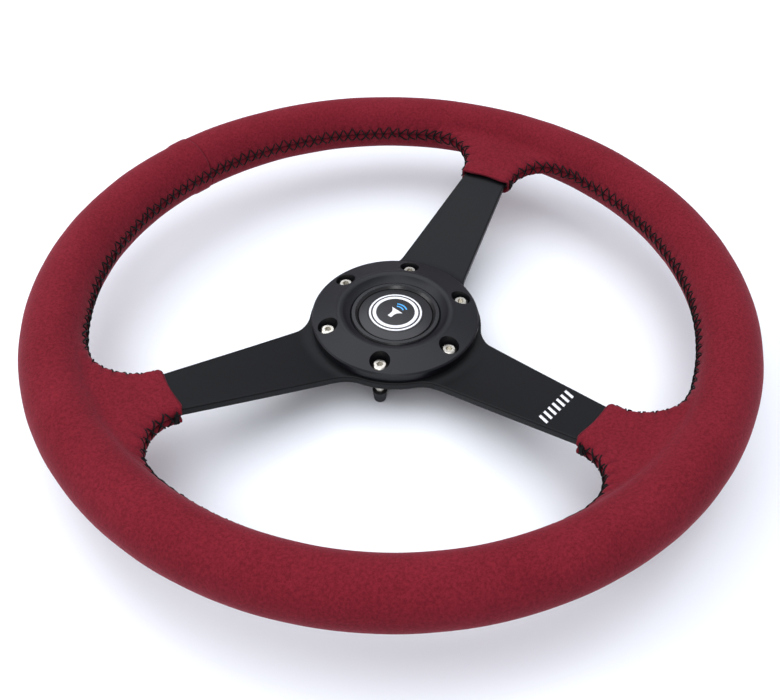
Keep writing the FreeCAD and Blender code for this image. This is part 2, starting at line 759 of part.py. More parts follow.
def make_emblem(doc, size):
    """Thin domed disc let into the cap."""
    body = new_body(doc, "emblem_disc")
    radius = size["emblem_radius"]
    top = size["cap_dome"]
    floor = top - size["emblem_thick"]
    rise = as_size(0.6)
    reach = radius - 0.2
    dome = (reach * reach + rise * rise) / (rise * 2)
    corners = [(0, floor), (radius, floor), (radius, top - rise - 0.15), (reach, top - rise), (0, top)]
    revolve(body, draw_outline(body, "emblem_section", "XZ_Plane", corners, {3: dome}), "emblem_turned")
    return body


def make_moving_contact(doc, size):
    """Brass disc under the cap that closes the horn circuit."""
    body = new_body(doc, "moving_contact")
    foot = size["contact_height"]
    top = foot + size["contact_thick"]
    corners = [(1.1, foot), (size["pedestal_outer"], foot), (size["pedestal_outer"], top), (1.1, top)]
    revolve(body, draw_outline(body, "moving_contact_section", "XZ_Plane", corners), "moving_contact_turned")
    return body


def make_contact_screw(doc, size):
    """Small pan-head screw that holds the moving contact to the cap's boss."""
    body = new_body(doc, "contact_screw")
    seat = size["contact_height"]
    corners = [(0, seat - 1.2), (1.5, seat - 1.2), (2.0, seat - 0.7), (2.0, seat), (1.0, seat)]
    corners += [(1.0, seat + 3.2), (0, seat + 3.2)]
    revolve(body, draw_outline(body, "contact_screw_section", "XZ_Plane", corners), "contact_screw_turned")
    return body


def fixed_contact_top(size):
    return size["contact_height"] - size["contact_gap"]


def make_base(doc, size, fixed, ground):
    """Insulating base that closes the housing and carries both terminals."""
    body = new_body(doc, "base_blank")
    top = -size["housing_depth"]
    foot = top - size["base_thick"]
    pedestal = fixed_contact_top(size) - size["contact_thick"]
    inner = size["pedestal_inner"]
    outer = size["pedestal_outer"]
    rim = size["housing_radius"]
    corners = [(0, foot), (rim, foot), (rim, top), (outer, top), (outer, pedestal), (inner, pedestal)]
    corners += [(inner, top), (0, top)]
    revolve(body, draw_outline(body, "base_section", "XZ_Plane", corners), "base_turned")
    under = {"z": top}
    circle = draw_circle(
        body, "base_hole_circle", "XY_Plane", size["base_screw_radius"], y=size["base_screw_circle"], offset=under
    )
    ring_of(body, [pocket(body, circle, "base_hole", size["base_thick"])], "base_holes", 3)
    terminals = boolean(doc, "Fuse", "terminal_tools", fixed, [ground])
    return boolean(doc, "Cut", "contact_base", body, terminals)


def add_tab(doc, size, label, reach, top):
    """A blade terminal that stands through the base, its wide side facing the axis."""
    tab = doc.addObject("Part::Box", label)
    end = -(size["housing_depth"] + size["base_thick"] + size["tab_length"])
    bind(tab, Length=size["tab_thick"], Width=size["tab_width"], Height=top - end)
    place(tab, x=reach, y=-(size["tab_width"] / 2), z=end)
    return tab


def make_fixed_contact(doc, size):
    """Brass ring on the base's pedestal, with its blade terminal."""
    body = new_body(doc, "fixed_ring")
    top = fixed_contact_top(size)
    foot = top - size["contact_thick"]
    inner = size["pedestal_inner"] + 0.4
    outer = size["pedestal_outer"] - 0.4
    corners = [(inner, foot), (outer, foot), (outer, top), (inner, top)]
    revolve(body, draw_outline(body, "fixed_ring_section", "XZ_Plane", corners), "fixed_ring_turned")
    tab = add_tab(doc, size, "fixed_tab", size["pedestal_inner"] + 1.6, top)
    return boolean(doc, "Fuse", "fixed_contact", body, [tab])


def make_ground_contact(doc, size):
    """Brass washer under the return spring, with its blade terminal."""
    body = new_body(doc, "ground_washer")
    foot = -size["housing_depth"]
    top = foot + 0.4
    corners = [(2.5, foot), (6.8, foot), (6.8, top), (2.5, top)]
    revolve(body, draw_outline(body, "washer_section", "XZ_Plane", corners), "washer_turned")
    tab = add_tab(doc, size, "ground_tab", as_size(-6.2), top)
    return boolean(doc, "Fuse", "ground_contact", body, [tab])


def make_spring(doc, size):
    """Return spring between the ground washer and the moving contact."""
    wire = size["spring_wire"] / 2
    foot = -size["housing_depth"] + 0.4 + wire + 0.02
    top = size["contact_height"] - wire - 0.02
    helix = doc.addObject("Part::Helix", "spring_line")
    helix.SegmentLength = 0.25
    bind(helix, Radius=size["spring_radius"], Pitch=size["spring_pitch"], Height=top - foot)
    place(helix, z=foot)
    circle = doc.addObject("Part::Circle", "spring_section")
    bind(circle, Radius=wire)
    lead = size["spring_pitch"] / (size["spring_radius"] * (2 * math.pi))
    tilt = Size(90 + math.degrees(math.atan(lead.value)), f"90 deg + atan({lead.formula})")
    place(circle, x=size["spring_radius"], z=foot, axis=(1, 0, 0), angle=tilt)
    doc.recompute()
    spring = doc.addObject("Part::Sweep", "return_spring")
    spring.Sections = [circle]
    spring.Spine = (helix, [f"Edge{index + 1}" for index in range(len(helix.Shape.Edges))])
    spring.Solid = True
    spring.Frenet = True
    return spring


def make_base_screws(doc, size):
    """Three self-tapping screws that hold the base to the housing, as one group."""
    body = new_body(doc, "base_screws", compound=True)
    foot = -(size["housing_depth"] + size["base_thick"])
    shank = size["base_screw_radius"]
    tip = as_size(-1.2)
    corners = [(0, foot - 1.4), (1.6, foot - 1.4), (2.2, foot - 0.8), (2.2, foot), (shank, foot)]
    corners += [(shank, tip - 0.8), (0.3, tip), (0, tip)]
    place_at = {"x": size["base_screw_circle"]}
    sketch = draw_outline(body, "base_screw_section", "YZ_Plane", corners, offset=place_at)
    ring_of(body, [revolve(body, sketch, "base_screw_turned")], "three_base_screws", 3)
    return body


# ---------------------------------------------------------------- assembly


def build(doc):
    """Every node of the wheel, in the order of assembly."""
    size = make_sheet(doc)
    plate = make_spoke_plate(doc, size)
    armature = make_armature(doc, size)
    brackets = [make_bracket(doc, size, side, alias, armature) for side, alias in SPOKES.items()]
    rivets = make_rivets(doc, size)
    foam = make_foam(doc, size, [plate, armature, *brackets, rivets])
    fixed = make_fixed_contact(doc, size)
    ground = make_ground_contact(doc, size)
    return [
        plate,
        armature,
        *brackets,
        rivets,
        foam,
        make_cover(doc, size),
        *make_stitching(doc, size),
        make_horn_ring(doc, size),
        make_wheel_screws(doc, size),
        make_thread_caps(doc, size),
        make_housing(doc, size),
        make_cap(doc, size),
        make_emblem(doc, size),
        make_moving_contact(doc, size),
        make_contact_screw(doc, size),
        fixed,
        ground,
        make_base(doc, size, fixed, ground),
        make_spring(doc, size),
        make_base_screws(doc, size),
    ]


def check(doc, nodes):
    """Stop if any object failed or any node's shape is unusable."""
    failed = [thing.Label for thing in doc.Objects if {"Invalid", "Error"} & set(thing.State)]
    unusable = [
        node.Label
        for node in nodes
        if node.Shape.isNull() or not node.Shape.isValid() or not node.Shape.Solids
    ]
    if failed or unusable:
        raise RuntimeError(f"failed: {failed}, without a valid solid: {unusable}")


def main():
    doc = FreeCAD.newDocument("steering_wheel")
    nodes = build(doc)
    doc.recompute()
    check(doc, nodes)
    os.makedirs("parts", exist_ok=True)
    for node in nodes:
        node.Shape.exportStep(f"parts/{node.Label}.step")
        box = node.Shape.BoundBox
        print(
            f"{node.Label:22s} solids {len(node.Shape.Solids):2d}  volume {node.Shape.Volume:10.1f}"
            f"  z {box.ZMin:7.2f} to {box.ZMax:6.2f}"
        )


main()
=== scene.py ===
# %% [markdown]
# # A suede-covered sports steering wheel
#
# The engineering model gives every hard piece in its true place: the spoke plate, the horn ring, the
# screws and the horn button. This script keeps those, gives them finishes, and makes the parts that a
# solid modeller draws poorly: the soft suede cover, its crossed stitching and the printed marks.

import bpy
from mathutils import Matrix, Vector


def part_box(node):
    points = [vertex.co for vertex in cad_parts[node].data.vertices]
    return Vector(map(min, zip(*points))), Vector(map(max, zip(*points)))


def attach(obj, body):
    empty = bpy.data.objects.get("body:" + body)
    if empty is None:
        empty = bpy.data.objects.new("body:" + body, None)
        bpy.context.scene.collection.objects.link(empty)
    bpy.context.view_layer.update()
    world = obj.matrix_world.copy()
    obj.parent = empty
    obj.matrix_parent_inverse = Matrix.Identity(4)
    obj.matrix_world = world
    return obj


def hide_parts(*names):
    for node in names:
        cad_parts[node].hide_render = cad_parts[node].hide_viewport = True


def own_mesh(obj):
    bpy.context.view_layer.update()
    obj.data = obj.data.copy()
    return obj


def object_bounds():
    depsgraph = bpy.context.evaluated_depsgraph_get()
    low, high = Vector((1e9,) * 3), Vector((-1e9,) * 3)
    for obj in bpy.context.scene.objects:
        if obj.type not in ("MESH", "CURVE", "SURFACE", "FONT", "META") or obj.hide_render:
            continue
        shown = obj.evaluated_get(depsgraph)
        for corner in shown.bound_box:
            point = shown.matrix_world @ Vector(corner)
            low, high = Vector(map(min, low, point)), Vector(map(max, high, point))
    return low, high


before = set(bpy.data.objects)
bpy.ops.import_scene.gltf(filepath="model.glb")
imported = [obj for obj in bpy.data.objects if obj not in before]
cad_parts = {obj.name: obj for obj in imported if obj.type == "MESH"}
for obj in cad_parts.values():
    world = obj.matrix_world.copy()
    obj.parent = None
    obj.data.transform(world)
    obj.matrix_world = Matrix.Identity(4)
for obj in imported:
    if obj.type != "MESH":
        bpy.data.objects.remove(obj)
CAD_BOX = [list(corner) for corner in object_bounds()]

import bmesh
import bpy
import numpy as np
from mathutils import Matrix, Vector

MM = 0.001
WHEEL = "wheel"
HORN = "horn_cap"

# %% [markdown]
# ## Sizes
#
# The rim is a round tube bent into a circle. The steel rod inside it shares its centre circle, so the
# rod's box gives the circle's radius and height, and the cover's box gives how thick the grip is. All
# shape work below is in millimetres, and only the finished mesh is turned into metres.

# %% Rim and sleeve sizes, mm
rod_low, rod_high = (np.array(corner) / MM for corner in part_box("rim_armature"))
cover_high = np.array(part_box("rim_cover")[1]) / MM
ring_low = np.array(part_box("horn_ring")[0]) / MM

RIM_HEIGHT = (rod_low[2] + rod_high[2]) / 2
RIM_RADIUS = rod_high[0] - (rod_high[2] - rod_low[2]) / 2
GRIP = cover_high[0] - RIM_RADIUS
INNER = RIM_RADIUS - GRIP
PLATE_THICK = ring_low[2]
BEND = 48.0
SLOPE = np.radians(11.64)
SPOKE_ANGLES = np.radians([16.0, 164.0, 270.0, 376.0])
MOUTH = 118.0
SLEEVE_HALF = 14.3
SLEEVE_THICK = 9.3
SLEEVE_MIDDLE = 1.75
SLEEVE_ROUND = 2.6
SLEEVE_FILLET = 2.2
FLARE = 22.0
SKIN = 1.2
FLARE_CENTRE = np.sqrt((INNER - FLARE) ** 2 - (SLEEVE_HALF + FLARE) ** 2)
FLARE_ANGLE = np.arctan2(SLEEVE_HALF + FLARE, FLARE_CENTRE)
print(f"rim radius {RIM_RADIUS:.2f}, grip radius {GRIP:.2f}, height {RIM_HEIGHT:.2f}")

# %% [markdown]
# ## Small mesh helpers
#
# Every new piece is a grid of points worked out as whole arrays. The helpers turn a grid into four-sided
# faces, join grids into one mesh, weld the points that two grids share, and attach the piece to the
# body that it moves with.


# %% Grids and meshes
def grid_quads(rows, columns, wrap_rows=False, wrap_columns=False, start=0):
    """Four-sided faces of a rows x columns grid: each cell joins a point, its neighbour along the row and
    the same two on the next row."""
    row = np.arange(rows if wrap_rows else rows - 1)
    column = np.arange(columns if wrap_columns else columns - 1)
    a, b = np.meshgrid(row, column, indexing="ij")
    c, d = (a + 1) % rows, (b + 1) % columns
    quads = [a * columns + b, a * columns + d, c * columns + d, c * columns + b]
    return np.stack(quads, -1).reshape(-1, 4) + start


def add_piece(name, grids, material, body, weld=None, crease=None):
    """One mesh object from (points, quads) pairs in mm, welded where asked, with faces turned outwards.
    Crease values, one for each point, go in before the weld; they darken the suede as painted shade."""
    points = np.concatenate([grid.reshape(-1, 3) for grid, _ in grids]) * MM
    starts = np.cumsum([0] + [grid.reshape(-1, 3).shape[0] for grid, _ in grids[:-1]])
    quads = np.concatenate([faces + start for (_, faces), start in zip(grids, starts)])
    mesh = bpy.data.meshes.new(name)
    mesh.from_pydata(points.tolist(), [], quads.tolist())
    if crease is not None:
        layer = mesh.attributes.new("crease", "FLOAT", "POINT")
        layer.data.foreach_set("value", crease.astype(np.float32))
    shape = bmesh.new()
    shape.from_mesh(mesh)
    if weld:
        bmesh.ops.remove_doubles(shape, verts=shape.verts, dist=weld * MM)
    bmesh.ops.recalc_face_normals(shape, faces=shape.faces)
    open_edges = sum(1 for edge in shape.edges if edge.is_boundary)
    shape.to_mesh(mesh)
    shape.free()
    mesh.polygons.foreach_set("use_smooth", np.ones(len(mesh.polygons), bool))
    mesh.materials.append(material)
    piece = bpy.data.objects.new(name, mesh)
    bpy.context.scene.collection.objects.link(piece)
    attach(piece, body)
    print(f"{name}: {len(mesh.polygons)} faces, {open_edges} open edges")
    return piece


print("one grid cell has the corners", grid_quads(2, 2)[0].tolist())

# %% [markdown]
# ## Colours and shader nodes
#
# Colours are written as the hex values that a paint chart gives, in sRGB, and one function turns them to
# the linear light that the renderer works in. Another small function adds a shader node with its
# settings and its links, so that each material reads as a short list.


# %% Colour and node helpers
def linear(code, alpha=1.0):
    """sRGB hex to linear: c/12.92 below 0.04045, else ((c + 0.055)/1.055)^2.4."""
    value = np.array([int(code[i : i + 2], 16) for i in (1, 3, 5)]) / 255
    light = np.where(value <= 0.04045, value / 12.92, ((value + 0.055) / 1.055) ** 2.4)
    return (*light.tolist(), alpha)


def add_node(tree, kind, inputs=None, **settings):
    """A node with its settings; each input is either a number or colour, or a link from another node."""
    node = tree.nodes.new(kind)
    for name, value in settings.items():
        setattr(node, name, value)
    for name, value in (inputs or {}).items():
        if isinstance(value, bpy.types.NodeSocket):
            tree.links.new(value, node.inputs[name])
        else:
            node.inputs[name].default_value = value
    return node


def add_ramp(tree, factor, stops):
    """A colour ramp through (position, hex colour) stops."""
    ramp = add_node(tree, "ShaderNodeValToRGB", {"Fac": factor})
    elements = ramp.color_ramp.elements
    for index, (position, code) in enumerate(stops):
        element = elements[index] if index < 2 else elements.new(position)
        element.position = position
        element.color = linear(code)
    return ramp.outputs["Color"]


def new_material(name):
    """An empty material, its tree, and the object's own coordinates."""
    material = bpy.data.materials.new(name)
    material.use_nodes = True
    tree = material.node_tree
    tree.nodes.clear()
    place = add_node(tree, "ShaderNodeTexCoord").outputs["Object"]
    return material, tree, place


def finish_material(tree, shader):
    output = add_node(tree, "ShaderNodeOutputMaterial")
    tree.links.new(shader.outputs[0], output.inputs["Surface"])


# %% [markdown]
# ## Suede
#
# The cover is microsuede: fine fibres knitted and sanded to a short raised nap, dyed burgundy. The nap
# scatters light, so it has no gloss, and at a shallow angle its fibre tips catch the light as a pale
# pink sheen. Stroked patches lie darker or lighter over a few centimetres, and the fibre clumps
# themselves are about half a millimetre across.


# %% Suede material
def make_suede():
    material, tree, place = new_material("burgundy_microsuede")
    stroke = add_node(
        tree, "ShaderNodeTexNoise", {"Vector": place, "Scale": 32.0, "Detail": 3.0, "Roughness": 0.55}
    )
    clump = add_node(
        tree, "ShaderNodeTexNoise", {"Vector": place, "Scale": 800.0, "Detail": 5.0, "Roughness": 0.75}
    )
    fibre = add_node(tree, "ShaderNodeTexNoise", {"Vector": place, "Scale": 2600.0, "Detail": 2.0})
    shade = add_ramp(tree, stroke.outputs["Fac"], [(0.3, "#761A26"), (0.7, "#7E1E2B")])
    nap = add_ramp(tree, clump.outputs["Fac"], [(0.38, "#8E8385"), (0.62, "#FFFFFF")])
    colour = add_node(
        tree, "ShaderNodeMix", {"Factor": 0.5, "A": shade, "B": nap}, data_type="RGBA", blend_type="MULTIPLY"
    )
    # Painted shade: the crease value of each point mixes the suede towards dark #4A0F19 in the stitch
    # valleys, the seam groove, the stitch holes and the rolled lips at the mouths.
    crease_shade_mask = add_node(tree, "ShaderNodeAttribute", attribute_name="crease")
    crease_shade = add_node(
        tree,
        "ShaderNodeMix",
        {"Factor": crease_shade_mask.outputs["Fac"], "A": colour.outputs["Result"], "B": linear("#4A0F19")},
        data_type="RGBA",
    )
    tiny = add_node(
        tree, "ShaderNodeBump", {"Height": fibre.outputs["Fac"], "Strength": 0.35, "Distance": 0.0002}
    )
    bump = add_node(
        tree,
        "ShaderNodeBump",
        {"Height": clump.outputs["Fac"], "Strength": 0.35, "Distance": 0.0005, "Normal": tiny.outputs[0]},
    )
    shader = add_node(
        tree,
        "ShaderNodeBsdfPrincipled",
        {
            "Base Color": crease_shade.outputs["Result"],
            "Roughness": 0.95,
            "Specular IOR Level": 0.15,
            "Sheen Weight": 0.34,
            "Sheen Roughness": 0.35,
            "Sheen Tint": linear("#D58C97"),
            "Normal": bump.outputs[0],
        },
    )
    finish_material(tree, shader)
    return material


suede = make_suede()
print("suede:", len(suede.node_tree.nodes), "nodes")

# %% [markdown]
# ## The cover's shape as a distance
#
# The cover is one skin stretched over a round rim and three flat sleeves, and it runs from one to the
# other in soft curves. The easiest way to say that is a distance: for any point, how far it is outside
# the skin. The rim's distance is a tube's, each sleeve's is a rounded slab's, and a rounded union joins
# them with a fillet. The skin is then wherever that distance is zero.


# %% Distances
FAR = 99.0


def round_union(a, b, radius):
    """max(radius, min(a, b)) - |(max(radius - a, 0), max(radius - b, 0))|: a fillet between two shapes."""
    inner = np.hypot(np.maximum(radius - a, 0), np.maximum(radius - b, 0))
    return np.maximum(radius, np.minimum(a, b)) - inner


def sleeve_height(reach):
    """The sleeve's middle surface climbs with the spoke: (reach - bend) tan(slope) + offset."""
    return (reach - BEND) * np.tan(SLOPE) + SLEEVE_MIDDLE


def sleeve_distance(points, angle):
    """Rounded slab along one spoke. In plan it is a strip that meets the rim's inner circle in an arc: in
    the fan between the two points where the arc touches, the distance is FLARE - |p - centre|. Its edges
    are rounded, and it swells a little at the mouth where the skin is turned in."""
    x, y, z = np.moveaxis(points, -1, 0)
    along = x * np.cos(angle) + y * np.sin(angle)
    across = -x * np.sin(angle) + y * np.cos(angle)
    reach = np.hypot(x, y)
    bulge = 0.7 * np.exp(-(((along - MOUTH - 2.5) / 3.0) ** 2))
    waist = 0.35 * np.exp(-(((along - MOUTH - 9) / 4.0) ** 2))
    swell = bulge - waist
    strip = np.abs(across) - SLEEVE_HALF - swell
    ahead, aside = along - FLARE_CENTRE, np.abs(across) - SLEEVE_HALF - FLARE
    bearing = np.arctan2(aside, ahead)
    in_fan = (bearing > -np.pi / 2) & (bearing < FLARE_ANGLE)
    plan = np.where(in_fan, FLARE - np.hypot(ahead, aside), np.minimum(strip, INNER - reach))
    plan = np.maximum.reduce([plan, np.abs(across) - SLEEVE_HALF - FLARE - 4, reach - RIM_RADIUS + 4])
    above = np.abs(z - sleeve_height(along)) * np.cos(SLOPE) - SLEEVE_THICK / 2 - 0.6 * swell
    side, face = plan + SLEEVE_ROUND, above + SLEEVE_ROUND
    corner = np.hypot(np.maximum(side, 0), np.maximum(face, 0))
    distance = np.minimum(np.maximum(side, face), 0) + corner - SLEEVE_ROUND
    return np.where(along > 0, distance, FAR)


def cover_distance(points):
    """Tube of the rim, joined to three sleeves with a small fillet."""
    x, y, z = np.moveaxis(points, -1, 0)
    distance = np.hypot(np.hypot(x, y) - RIM_RADIUS, z - RIM_HEIGHT) - GRIP
    for angle in SPOKE_ANGLES[:3]:
        distance = round_union(distance, sleeve_distance(points, angle), SLEEVE_FILLET)
    return distance


def outward(points, step=0.05):
    """Unit normal of the skin: the gradient of the distance, by central differences."""
    slope = [
        cover_distance(points + step * axis) - cover_distance(points - step * axis) for axis in np.eye(3)
    ]
    normal = np.stack(slope, -1)
    return normal / np.linalg.norm(normal, axis=-1, keepdims=True)


rim_top = np.array([0.0, RIM_RADIUS, RIM_HEIGHT + GRIP])
print(f"distance at the rim's top: {abs(cover_distance(rim_top)):.3f} mm")


# %% [markdown]
# ## A grid that follows the skin
#
# A useful grid runs along each window's edge, where the cover is sewn, and round the grip. So each
# window gets one patch. Its first parameter is the length along the window's edge: from a sleeve's
# mouth, up the sleeve's side, round the flare, along the rim, and down the next sleeve. Its second is an
# angle: 0 faces the window, positive goes over the top. Rays from the grip's core find the skin.


# %% Core and edge of a window
SIDE_RUN = FLARE_CENTRE - MOUTH
ARC_RUN = FLARE * (np.pi / 2 + FLARE_ANGLE)
CORE_RUN = RIM_RADIUS - MOUTH
CLIMB_RUN = GRIP * np.pi / 2
EASE = np.radians(16.0)


def smooth_step(t):
    """0 below 0, 1 above 1, and 3t^2 - 2t^3 between."""
    t = np.clip(t, 0, 1)
    return t * t * (3 - 2 * t)


def window_run(first, last):
    """Length of a window's edge from mouth to mouth, mm."""
    return 2 * (SIDE_RUN + ARC_RUN) + INNER * (last - first - 2 * FLARE_ANGLE)


def half_window(run):
    """One half of a window, for a spoke along +X with the window on +Y. The edge goes along the sleeve,
    round an arc that touches both, and then along the rim's inner circle. The core runs out along the
    sleeve's middle, waits in the rim while the fan opens, and then follows the rim. It has two angles,
    because a ray's core slides from the first (facing the window) to the second (over the top)."""
    turn = np.clip((run - SIDE_RUN) / FLARE, 0, np.pi / 2 + FLARE_ANGLE)
    beyond = np.maximum(run - SIDE_RUN - ARC_RUN, 0) / INNER
    round_angle = FLARE_ANGLE + beyond
    on_rim = run > SIDE_RUN + ARC_RUN
    side_x = MOUTH + np.minimum(run, SIDE_RUN) + FLARE * np.sin(turn)
    side_y = SLEEVE_HALF + FLARE * (1 - np.cos(turn))
    edge_x = np.where(on_rim, INNER * np.cos(round_angle), side_x)
    edge_y = np.where(on_rim, INNER * np.sin(round_angle), side_y)
    leave = smooth_step(turn / 1.6)
    edge_z = sleeve_height(side_x) * (1 - leave) + RIM_HEIGHT * leave
    path = np.clip(run / (SIDE_RUN + ARC_RUN), 0, 1) * (CORE_RUN + CLIMB_RUN)
    reach = MOUTH + np.minimum(path, CORE_RUN)
    opened = np.clip((path - CORE_RUN) / CLIMB_RUN, 0, 1)
    lag = FLARE_ANGLE * (1 - smooth_step(beyond / EASE))
    facing = np.where(on_rim, round_angle - 0.4 * lag, 0.6 * FLARE_ANGLE * opened)
    over = np.where(on_rim, round_angle - lag, 0.0)
    blend = smooth_step((reach - INNER) / GRIP)
    height = sleeve_height(reach) * (1 - blend) + RIM_HEIGHT * blend
    edge = np.stack([edge_x, edge_y, edge_z], -1)
    return edge, reach, height, SLOPE * (1 - blend), facing, over, opened


def on_axis(reach, angle, height):
    """Cylindrical to straight coordinates."""
    return np.stack([reach * np.cos(angle), reach * np.sin(angle), height + 0 * angle], -1)


def turn_about_z(points, angle):
    """Rotate points about the wheel's axis."""
    cosine, sine = np.cos(angle), np.sin(angle)
    x, y, z = np.moveaxis(points, -1, 0)
    return np.stack([x * cosine - y * sine, x * sine + y * cosine, z], -1)


def window_rays(run, turn, first, last):
    """Core point and direction of every ray of a window. The first half grows from the first spoke, and
    the second half is its mirror image, grown from the last. turn is -1..1: 0 looks at the edge and +-1
    ends at the top or, on the open rim, at the far side. Up to a quarter turn the direction swings from
    the edge to up, and then on to outward."""
    total = window_run(first, last)
    ahead = run <= total / 2
    edge, reach, height, lean, facing, over, opened = half_window(np.where(ahead, run, total - run))
    slide = over + (facing - over) * (1 - np.abs(turn))
    core = on_axis(reach, slide, height)
    inward = edge - on_axis(reach, facing, height)
    inward = inward / np.linalg.norm(inward, axis=-1, keepdims=True)
    up = on_axis(-np.sin(lean), slide, np.cos(lean))
    angle = np.abs(turn) * np.pi / 2 * (1 + opened)
    flat = np.where((angle <= np.pi / 2)[..., None], inward, on_axis(1.0, slide, 0.0))
    direction = flat * np.abs(np.cos(angle))[..., None] + up * (np.sign(turn) * np.sin(angle))[..., None]
    mirror = np.where(ahead, 1.0, -1.0)
    flip = np.stack([np.ones_like(mirror), mirror, np.ones_like(mirror)], -1)
    spin = np.where(ahead, first, last)
    return turn_about_z(core * flip, spin), turn_about_z(direction * flip, spin)


def skin_points(run, turn, first, last, level=0.0):
    """March each ray out from the core by the remaining distance until it meets the skin (or a surface
    level mm outside it)."""
    run, turn, level = np.broadcast_arrays(run, turn, level)
    core, direction = window_rays(run, turn, first, last)
    travel = np.zeros(run.shape)
    for _ in range(48):
        travel = travel + 0.85 * (level - cover_distance(core + direction * travel[..., None]))
    return core + direction * travel[..., None]


def turn_scale(run, first, last):
    """Length round the grip of one whole turn: angle of a turn, pi/2 (1 + opened), times core to edge."""
    total = window_run(first, last)
    edge, reach, height, _, facing, _, opened = half_window(np.minimum(run, total - run))
    arm = np.linalg.norm(edge - on_axis(reach, facing, height), axis=-1)
    return np.pi / 2 * (1 + opened) * arm


# %% [markdown]
# ## Creases, seams and puckers
#
# Suede is soft, so the stitching shapes it. The two edges meet in a shallow valley that faces the window,
# each stitch pulls a dimple, and the skin between stitches stands proud. One cross seam near twelve
# o'clock joins the cover's two ends, and the turned-in hem beside it raises the surface. Slow waves of a
# few tenths of a millimetre keep the skin from looking machined.

# %% Surface relief
STITCH_PITCH = 5.3
STITCH_REACH = 4.3
STITCH_END = 1.5
SEAM_ANGLE = np.radians(88.0)
SEAM_DEPTH = 0.45
HEM_WIDE = 10.0
HEM_HEIGHT = 0.5
VALLEY_DEPTH = 0.75
PUFF_HEIGHT = 0.22
HOLE_DEPTH = 0.42
WINDOWS = {
    "upper": (SPOKE_ANGLES[0], SPOKE_ANGLES[1]),
    "lower_left": (SPOKE_ANGLES[1], SPOKE_ANGLES[2]),
    "lower_right": (SPOKE_ANGLES[2], SPOKE_ANGLES[3]),
}


def waves(points):
    """Sum of a few slow sines of position, about +-1."""
    x, y, z = np.moveaxis(points, -1, 0)
    first = np.sin(x / 9.3 + 1.3 * np.sin(y / 14.1)) * np.sin(y / 10.7 + z / 6.1)
    second = np.sin((x + y) / 5.9 + 0.7) * np.sin((x - y) / 7.7 + z / 4.3)
    return 0.65 * first + 0.35 * second


def stitch_count(first, last):
    """Whole number of stitches in a window, and the length that they share, mm."""
    shared = window_run(first, last) - 2 * STITCH_END
    return round(shared / STITCH_PITCH), shared


def stitch_phase(run, first, last):
    """Place along the window counted in stitches: a hole lies at every whole number."""
    count, shared = stitch_count(first, last)
    return (run - STITCH_END) / shared * count


def cross_seam(points):
    """Groove of the cross seam, 0..1, and the height of the hem beside it, mm."""
    away = (np.arctan2(points[..., 1], points[..., 0]) - SEAM_ANGLE) * RIM_RADIUS
    top = points[..., 1] > 0
    rise = smooth_step((away + 0.4) / 1.2) * (1 - smooth_step((away - HEM_WIDE + 1.0) / 2.5))
    return np.where(top, np.exp(-((away / 0.55) ** 2)), 0), np.where(top, HEM_HEIGHT * rise, 0)


def relief(points, run, turn, first, last):
    """Height added to the skin, mm, and how deep in a crease each point lies, 0..1, which darkens the suede
    there as painted shade.
    """
    offset = np.abs(turn) * turn_scale(run, first, last)
    valley = np.exp(-((offset / 0.75) ** 2))
    phase = stitch_phase(run, first, last)
    hole = 0.5 + 0.5 * np.cos(2 * np.pi * phase)
    band = np.exp(-(((offset - STITCH_REACH) / 1.3) ** 2))
    puff = np.exp(-(((offset - 2.6) / 1.4) ** 2))
    height = -VALLEY_DEPTH * valley + PUFF_HEIGHT * puff * (1 - hole) - HOLE_DEPTH * band * hole**3
    seam, hem = cross_seam(points)
    height = height - SEAM_DEPTH * seam + hem
    reach = np.hypot(points[..., 0], points[..., 1])
    near_spoke = smooth_step((INNER + 6 - reach) / 14)
    height = height + waves(points) * (0.14 + 0.16 * near_spoke)
    # Painted shade: the valley, the seam groove and the stitch holes darken the suede through this crease
    # value.
    crease = np.clip(0.85 * valley + 0.5 * seam + 0.5 * band * hole**4, 0, 1)
    return height, crease


for name, (first, last) in WINDOWS.items():
    print(name, "window:", stitch_count(first, last)[0], "stitches")


# %% [markdown]
# ## Building the cover
#
# Three outer patches carry the relief. Behind them lies a plainer inner skin 1.2 mm in, and at each mouth
# the two are joined by a rolled lip, so the cover is one closed shell that the spokes enter.


# %% Cover patches
def run_stations(first, last, step):
    """Stations along a window's edge, closer together beside the cross seam."""
    total = window_run(first, last)
    flare_end = SIDE_RUN + ARC_RUN
    head = np.linspace(0, flare_end, round(flare_end / step) + 1)
    count = round((total - 2 * flare_end) / step)
    middle = np.linspace(flare_end, total - flare_end, count + 1)
    stations = np.concatenate([head, middle[1:-1], total - head[::-1]])
    if not first < SEAM_ANGLE < last:
        return stations
    seam_run = SIDE_RUN + ARC_RUN + INNER * (SEAM_ANGLE - first - FLARE_ANGLE)
    steps = np.array([-1.6, -1.1, -0.75, -0.5, -0.25, 0, 0.25, 0.5, 0.75, 1.1, 1.6])
    extra = seam_run + steps * INNER / RIM_RADIUS
    kept = stations[np.abs(stations - seam_run) > 2.0]
    return np.sort(np.concatenate([kept, extra]))


TURNS = np.array([0, 0.012, 0.024, 0.04, 0.06, 0.08, 0.1, 0.125, 0.15, 0.175, 0.2, 0.225, 0.26])
TURNS = np.concatenate([TURNS, np.linspace(0.3, 1.0, 19)])
TURNS = np.concatenate([-TURNS[:0:-1], TURNS])
LIP_STEPS = np.radians([150.0, 120.0, 90.0, 60.0, 30.0])
# Painted shade: the rolled lips at the mouths darken the suede by this crease value.
LIP_CREASE = 0.6
OUTER_STEP = 1.35
INNER_STEP = 5.0


def lip_rows(edge, inside, heading):
    """Half circles from the inner skin to the outer one: middle + half (cos a) + forward |half| (sin a)."""
    middle = (edge + inside) / 2
    half = (edge - inside) / 2
    size = np.linalg.norm(half, axis=-1, keepdims=True)
    return [middle + half * np.cos(a) + heading * size * np.sin(a) for a in LIP_STEPS]


